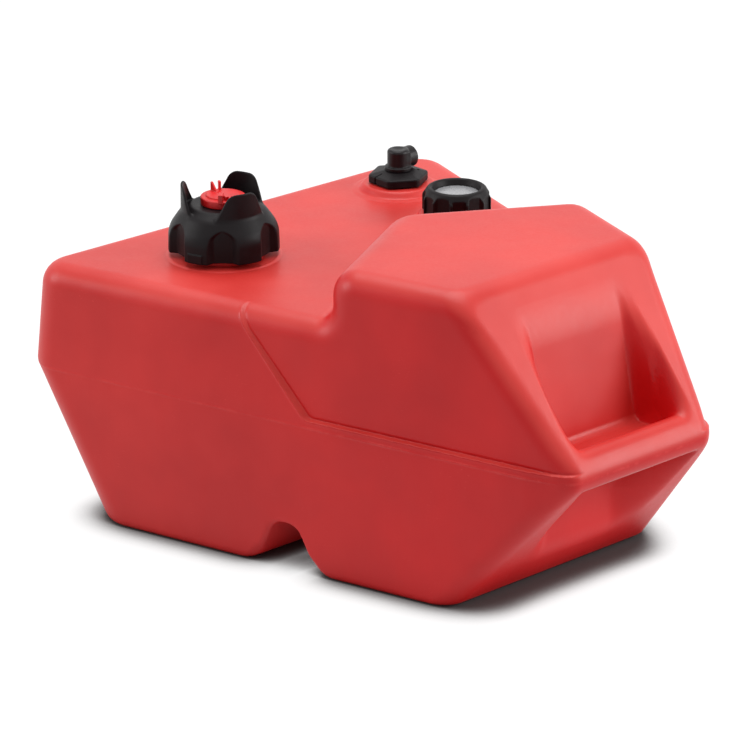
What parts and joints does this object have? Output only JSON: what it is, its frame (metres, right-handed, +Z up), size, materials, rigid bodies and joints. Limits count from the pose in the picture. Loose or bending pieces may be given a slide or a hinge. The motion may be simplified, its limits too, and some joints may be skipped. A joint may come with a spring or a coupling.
{
  "type": "outboard fuel tank",
  "caption": "Wedge-shaped portable fuel tank with a raised hump, moulded carrying handle, vented screw cap, float gauge and swivelling pickup outlet.",
  "frame": {"origin": "centre of the footprint of the whole tank, on the surface it stands on", "axes": "+X along the length towards the carrying handle, +Y towards the gauge and pickup side, +Z up"},
  "size_m": [0.468, 0.4148, 0.256],
  "materials": {
    "tank_red": "satin moulded polyethylene",
    "cap_black": "fine spark texture",
    "insert_black": "smooth moulded",
    "seal_rubber": "matte nitrile",
    "washer_white": "smooth",
    "knob_red": "smooth moulded",
    "valve_plastic": "smooth acetal",
    "spring_steel": "bright wire",
    "gauge_window": "clear moulded window",
    "dial_grey": "matte printed disc",
    "pointer_red": "painted",
    "gauge_plastic": "smooth moulded",
    "rod_aluminium": "drawn",
    "float_foam": "closed-cell nitrile foam",
    "elbow_black": "smooth moulded",
    "valve_brass": "turned",
    "tube_natural": "natural polyethylene",
    "strainer_mesh": "moulded mesh"
  },
  "bodies": {
    "tank": {"tank_shell": "tank_red", "gauge_cap": "cap_black", "gauge_lens": "gauge_window", "gauge_dial": "dial_grey", "gauge_body": "gauge_plastic", "gauge_gasket": "seal_rubber", "gauge_guides": "rod_aluminium", "gauge_foot": "gauge_plastic", "pickup_flange": "cap_black", "pickup_gasket": "seal_rubber", "check_seat": "valve_brass", "check_spring": "spring_steel", "pickup_tube": "tube_natural", "pickup_strainer": "strainer_mesh"},
    "cap_seal": {"filler_gasket": "seal_rubber", "slip_washer": "washer_white"},
    "cap": {"filler_cap": "cap_black", "filler_insert": "insert_black", "breather_spring": "spring_steel"},
    "knob": {"vent_knob": "knob_red"},
    "needle": {"vent_needle": "valve_plastic", "vent_seal": "seal_rubber"},
    "poppet": {"breather_poppet": "valve_plastic", "breather_clip": "spring_steel"},
    "float": {"gauge_float": "float_foam"},
    "spindle": {"gauge_spindle": "rod_aluminium", "gauge_pointer": "pointer_red"},
    "elbow": {"outlet_elbow": "elbow_black", "elbow_seal": "seal_rubber"},
    "ball": {"check_ball": "spring_steel"}
  },
  "joints": [
    {"name": "cap_rise", "type": "slide", "parent": "tank", "child": "cap_seal", "axis": [0, 0, 1], "range_m": [0, 0.0101]},
    {"name": "cap_turn", "type": "hinge", "parent": "cap_seal", "child": "cap", "pos_m": [-0.1393, -0.0847, 0.215], "axis": [0, 0, 1], "range_deg": [0, 900]},
    {"name": "knob_turn", "type": "hinge", "parent": "cap", "child": "knob", "pos_m": [-0.1393, -0.0847, 0.243], "axis": [0, 0, 1], "range_deg": [0, 90]},
    {"name": "needle_lift", "type": "slide", "parent": "cap", "child": "needle", "axis": [0, 0, 1], "range_m": [0, 0.00101]},
    {"name": "breather_open", "type": "slide", "parent": "cap", "child": "poppet", "axis": [0, 0, -1], "range_m": [0, 0.001], "stiffness_N_per_m": 20, "springref_m": -0.003, "deforming": ["breather_spring"]},
    {"name": "float_rise", "type": "slide", "parent": "tank", "child": "float", "axis": [0, 0, 1], "range_m": [0, 0.14]},
    {"name": "spindle_turn", "type": "hinge", "parent": "tank", "child": "spindle", "pos_m": [-0.08, 0.1015, 0.1], "axis": [0, 0, 1], "range_deg": [0, 270.01]},
    {"name": "elbow_swivel", "type": "hinge", "parent": "tank", "child": "elbow", "pos_m": [-0.168, 0.119, 0.22], "axis": [0, 0, 1], "continuous": true},
    {"name": "check_lift", "type": "slide", "parent": "tank", "child": "ball", "axis": [0, 0, 1], "range_m": [0, 0.0015], "stiffness_N_per_m": 40, "springref_m": -0.003, "deforming": ["check_spring"]}
  ],
  "couplings": [
    {"joint": "cap_rise", "follows": "cap_turn", "m_per_rad": 0.00063662},
    {"joint": "needle_lift", "follows": "knob_turn", "m_per_rad": 0.00063662},
    {"joint": "spindle_turn", "follows": "float_rise", "rad_per_m": 33.66}
  ]
}
